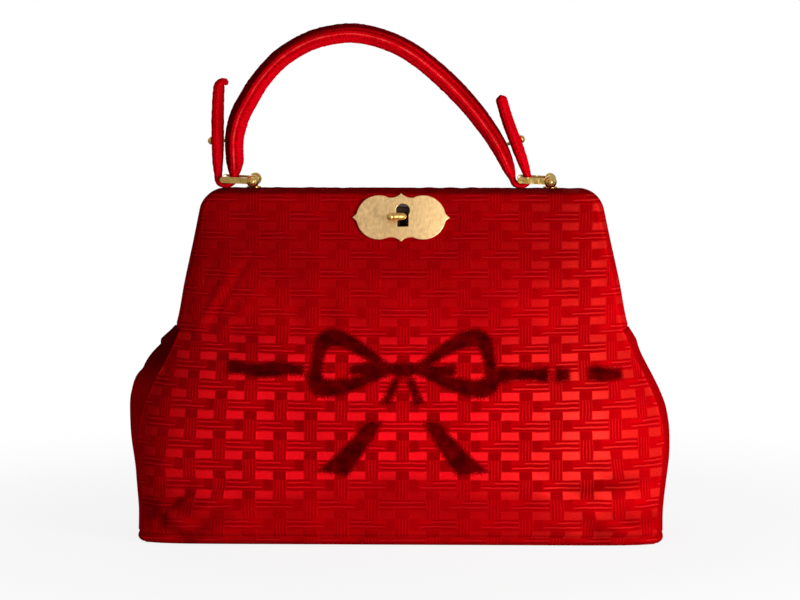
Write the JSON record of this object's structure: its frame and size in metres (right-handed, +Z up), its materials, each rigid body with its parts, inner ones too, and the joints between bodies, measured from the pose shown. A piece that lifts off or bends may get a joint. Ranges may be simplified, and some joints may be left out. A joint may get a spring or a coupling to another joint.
{
  "type": "handbag",
  "caption": "Velvet handbag with a hinged metal frame, a sprung brass catch and a padded strap handle on swinging rings; the mouth opens both ways and the base stands flat.",
  "frame": {"origin": "on the floor under the middle of the bag's base", "axes": "+Z up, -Y the front with the lock, +X to the right seen from the front"},
  "size_m": [0.3013, 0.1142, 0.2828],
  "materials": {
    "velvet": "figured velvet",
    "velvet_dark": "figured velvet",
    "lining": "plain satin",
    "board": "plain board",
    "steel": "plated",
    "brass": "polished"
  },
  "bodies": {
    "bag": {"base_panel": "velvet_dark", "base_board": "board", "front_panel": "velvet", "rear_panel": "velvet", "left_gusset": "velvet_dark", "right_gusset": "velvet_dark", "body_lining": "lining"},
    "front_frame": {"front_flap": "velvet", "front_bar": "steel", "front_lining": "lining", "lock_plate": "brass", "lock_case": "steel", "latch_spring": "steel"},
    "latch": {"latch_slide": "steel", "finger_lever": "brass"},
    "rear_frame": {"rear_flap": "velvet", "rear_bar": "steel", "rear_lining": "lining", "keeper": "steel", "left_rivet": "brass", "right_rivet": "brass", "left_post": "brass", "right_post": "brass", "left_pin": "brass", "right_pin": "brass"},
    "ring_left": {"left_ring": "brass"},
    "ring_right": {"right_ring": "brass"},
    "handle": {"handle": "velvet", "left_stud": "brass", "right_stud": "brass"}
  },
  "joints": [
    {"name": "front_open", "type": "hinge", "parent": "bag", "child": "front_frame", "pos_m": [0, 0, 0.117], "axis": [1, 0, 0], "range_deg": [0, 40]},
    {"name": "rear_open", "type": "hinge", "parent": "bag", "child": "rear_frame", "pos_m": [0, 0, 0.117], "axis": [-1, 0, 0], "range_deg": [0, 40]},
    {"name": "latch_press", "type": "slide", "parent": "front_frame", "child": "latch", "axis": [0, 0, -1], "range_m": [0, 0.004], "stiffness_N_per_m": 300, "deforming": ["latch_spring"]},
    {"name": "ring_left_swing", "type": "hinge", "parent": "rear_frame", "child": "ring_left", "pos_m": [-0.0823, 0.003, 0.1963], "axis": [0, 1, 0], "range_deg": [0, 165]},
    {"name": "ring_right_swing", "type": "hinge", "parent": "rear_frame", "child": "ring_right", "pos_m": [0.0823, 0.003, 0.1963], "axis": [0, 1, 0], "range_deg": [0, 165]},
    {"name": "handle_turn", "type": "hinge", "parent": "ring_left", "child": "handle", "pos_m": [-0.09878, 0.003, 0.19716], "axis": [0, 1, 0], "range_deg": [-165, 0]}
  ],
  "couplings": [
    {"joint": "ring_right_swing", "follows": "ring_left_swing", "ratio": 1},
    {"joint": "handle_turn", "follows": "ring_left_swing", "ratio": -1}
  ]
}
